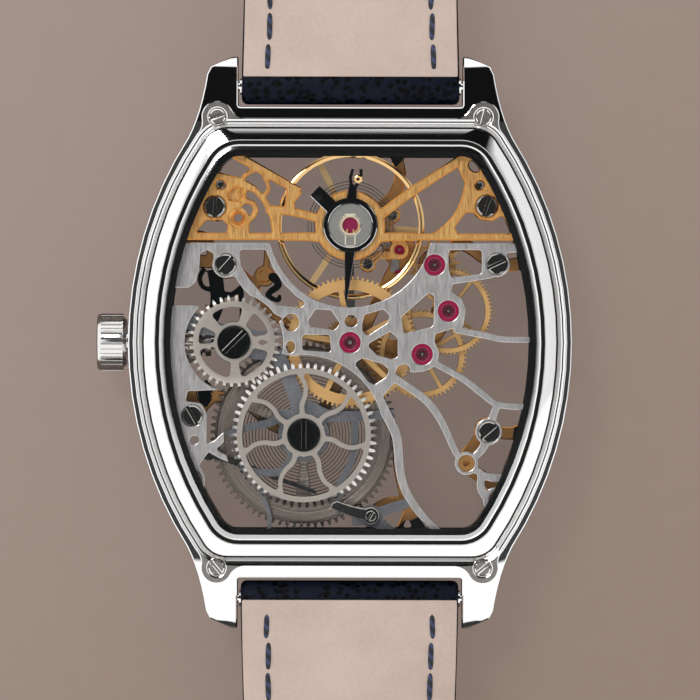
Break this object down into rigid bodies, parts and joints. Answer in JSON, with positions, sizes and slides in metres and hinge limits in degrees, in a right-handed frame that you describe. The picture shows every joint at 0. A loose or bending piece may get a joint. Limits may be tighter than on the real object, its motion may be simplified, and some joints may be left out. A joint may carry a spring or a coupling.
{
  "type": "skeleton wristwatch",
  "caption": "Hand-wound skeleton wristwatch with a tonneau steel case, a glazed case back showing the open-worked movement, and a two-piece leather strap with a pin buckle.",
  "frame": {"origin": "centre of the front crystal's outer face", "axes": "+Z out of the case back, +Y to twelve o'clock, +X away from the crown, which is seen to the right with the case back towards the viewer"},
  "size_m": [0.0429, 0.2419, 0.0098],
  "materials": {
    "case_steel": "mirror polished",
    "crystal": "polished",
    "gasket": "matte",
    "bridge_grey": "brushed along Y with polished edges",
    "bridge_gold": "brushed along Y with polished edges",
    "plate_copper": "fine grained",
    "wheel_gold": "satin",
    "wheel_steel": "circular brushed",
    "pivot_steel": "polished",
    "black_steel": "black polished",
    "screw_steel": "black polished",
    "ruby": "polished",
    "spring_steel": "polished",
    "hand_steel": "polished",
    "navy_leather": "grained outside, pink-beige lining"
  },
  "bodies": {
    "case": {"case_body": "case_steel", "bezel": "case_steel", "front_crystal": "crystal", "gaskets": "gasket", "case_back": "case_steel", "back_crystal": "crystal", "case_back_screws": "pivot_steel", "movement_ring": "wheel_steel", "crown_tube": "pivot_steel", "spring_bars": "pivot_steel", "chapter_ring": "hand_steel", "main_plate": "plate_copper", "train_bridge": "bridge_grey", "balance_bridge": "bridge_gold", "pallet_bridge": "bridge_gold", "bridge_screws": "screw_steel", "jewels": "ruby", "click_spring": "wheel_steel", "shock_setting": "wheel_steel", "shock_spring": "wheel_gold", "stud_carrier": "black_steel", "keyless_levers": "black_steel", "hairspring": "spring_steel"},
    "click": {"click": "pivot_steel"},
    "regulator": {"regulator": "black_steel"},
    "ratchet": {"ratchet_wheel": "wheel_steel", "ratchet_screw": "black_steel", "barrel_arbor": "pivot_steel"},
    "crown_wheel": {"crown_wheel": "wheel_steel"},
    "winding": {"winding_pinion": "pivot_steel"},
    "stem": {"stem": "pivot_steel", "crown": "case_steel"},
    "sliding_pinion": {"sliding_pinion": "pivot_steel"},
    "barrel": {"barrel_drum": "bridge_grey", "barrel_cover": "bridge_grey", "mainspring": "spring_steel"},
    "centre": {"centre_wheel": "wheel_gold", "centre_pinion": "pivot_steel", "cannon_pinion": "pivot_steel", "minute_hand": "hand_steel"},
    "third": {"third_wheel": "wheel_gold", "third_pinion": "pivot_steel"},
    "fourth": {"fourth_wheel": "wheel_gold", "fourth_pinion": "pivot_steel"},
    "escape": {"escape_wheel": "wheel_steel", "escape_pinion": "pivot_steel"},
    "pallet": {"pallet_fork": "pivot_steel", "pallet_stones": "ruby"},
    "balance": {"balance_wheel": "wheel_gold", "balance_staff": "pivot_steel"},
    "minute": {"minute_wheel": "wheel_gold"},
    "hour": {"hour_wheel": "wheel_gold", "hour_hand": "hand_steel"},
    "upper_strap": {"strap_upper": "navy_leather", "buckle_loops": "navy_leather", "fixed_keeper": "navy_leather"},
    "free_keeper": {"free_keeper": "navy_leather"},
    "buckle": {"buckle": "case_steel"},
    "tang": {"tang": "case_steel"},
    "lower_strap": {"strap_lower": "navy_leather"}
  },
  "joints": [
    {"name": "stem_spin", "type": "hinge", "parent": "case", "child": "winding", "pos_m": [-0.02, 0, 0.00495], "axis": [1, 0, 0], "continuous": true},
    {"name": "crown_pull", "type": "slide", "parent": "winding", "child": "stem", "axis": [-1, 0, 0], "range_m": [0, 0.001]},
    {"name": "sliding_pinion_shift", "type": "slide", "parent": "winding", "child": "sliding_pinion", "axis": [1, 0, 0], "range_m": [0, 0.0007]},
    {"name": "crown_wheel_spin", "type": "hinge", "parent": "case", "child": "crown_wheel", "pos_m": [-0.01045, 0, 0.006], "axis": [0, 0, 1], "continuous": true},
    {"name": "ratchet_spin", "type": "hinge", "parent": "case", "child": "ratchet", "pos_m": [-0.00415, -0.00835, 0.006], "axis": [0, 0, 1], "continuous": true},
    {"name": "click_pivot", "type": "hinge", "parent": "case", "child": "click", "pos_m": [0.0019, -0.0156, 0.006], "axis": [0, 0, 1], "range_deg": [0, 10], "stiffness_Nm_per_rad": 0.00002},
    {"name": "regulator_turn", "type": "hinge", "parent": "case", "child": "regulator", "pos_m": [0, 0.01055, 0.006], "axis": [0, 0, 1], "range_deg": [-15, 15]},
    {"name": "fourth_spin", "type": "hinge", "parent": "case", "child": "fourth", "pos_m": [0.00885, 0.00285, 0.006], "axis": [0, 0, 1], "continuous": true},
    {"name": "third_spin", "type": "hinge", "parent": "case", "child": "third", "pos_m": [0.0065, -0.00105, 0.006], "axis": [0, 0, 1], "continuous": true},
    {"name": "centre_spin", "type": "hinge", "parent": "case", "child": "centre", "pos_m": [0, 0, 0.006], "axis": [0, 0, 1], "continuous": true},
    {"name": "barrel_spin", "type": "hinge", "parent": "case", "child": "barrel", "pos_m": [-0.00415, -0.00835, 0.006], "axis": [0, 0, 1], "continuous": true},
    {"name": "escape_spin", "type": "hinge", "parent": "case", "child": "escape", "pos_m": [0.0076, 0.007, 0.006], "axis": [0, 0, 1], "continuous": true},
    {"name": "minute_wheel_spin", "type": "hinge", "parent": "case", "child": "minute", "pos_m": [0.0022, -0.0019, 0.006], "axis": [0, 0, 1], "continuous": true},
    {"name": "hour_spin", "type": "hinge", "parent": "case", "child": "hour", "pos_m": [0, 0, 0.006], "axis": [0, 0, 1], "continuous": true},
    {"name": "pallet_rock", "type": "hinge", "parent": "case", "child": "pallet", "pos_m": [0.00445, 0.0084, 0.006], "axis": [0, 0, 1], "range_deg": [-5, 5]},
    {"name": "balance_swing", "type": "hinge", "parent": "case", "child": "balance", "pos_m": [0, 0.01055, 0.006], "axis": [0, 0, 1], "range_deg": [-270, 270], "stiffness_Nm_per_rad": 0.00000025},
    {"name": "strap_upper_pivot", "type": "hinge", "parent": "case", "child": "upper_strap", "pos_m": [0, 0.02305, 0.0066], "axis": [1, 0, 0], "range_deg": [-15, 80]},
    {"name": "strap_lower_pivot", "type": "hinge", "parent": "case", "child": "lower_strap", "pos_m": [0, -0.02305, 0.0066], "axis": [-1, 0, 0], "range_deg": [-15, 80]},
    {"name": "buckle_pivot", "type": "hinge", "parent": "upper_strap", "child": "buckle", "pos_m": [0, 0.09645, 0.00195], "axis": [1, 0, 0], "range_deg": [-80, 80]},
    {"name": "tang_pivot", "type": "hinge", "parent": "buckle", "child": "tang", "pos_m": [0, 0.09645, 0.00195], "axis": [-1, 0, 0], "range_deg": [0, 100]},
    {"name": "keeper_slide", "type": "slide", "parent": "upper_strap", "child": "free_keeper", "axis": [0, 1, 0], "range_m": [-0.008, 0.008]}
  ],
  "couplings": [
    {"joint": "sliding_pinion_shift", "follows": "crown_pull", "ratio": 0.7},
    {"joint": "crown_wheel_spin", "follows": "stem_spin", "ratio": 0.5},
    {"joint": "ratchet_spin", "follows": "stem_spin", "ratio": -0.31034},
    {"joint": "third_spin", "follows": "fourth_spin", "ratio": -0.13333},
    {"joint": "centre_spin", "follows": "fourth_spin", "ratio": 0.016667},
    {"joint": "barrel_spin", "follows": "fourth_spin", "ratio": -0.0020833},
    {"joint": "escape_spin", "follows": "fourth_spin", "ratio": -10},
    {"joint": "minute_wheel_spin", "follows": "fourth_spin", "ratio": -0.0055556},
    {"joint": "hour_spin", "follows": "fourth_spin", "ratio": 0.0013889}
  ]
}
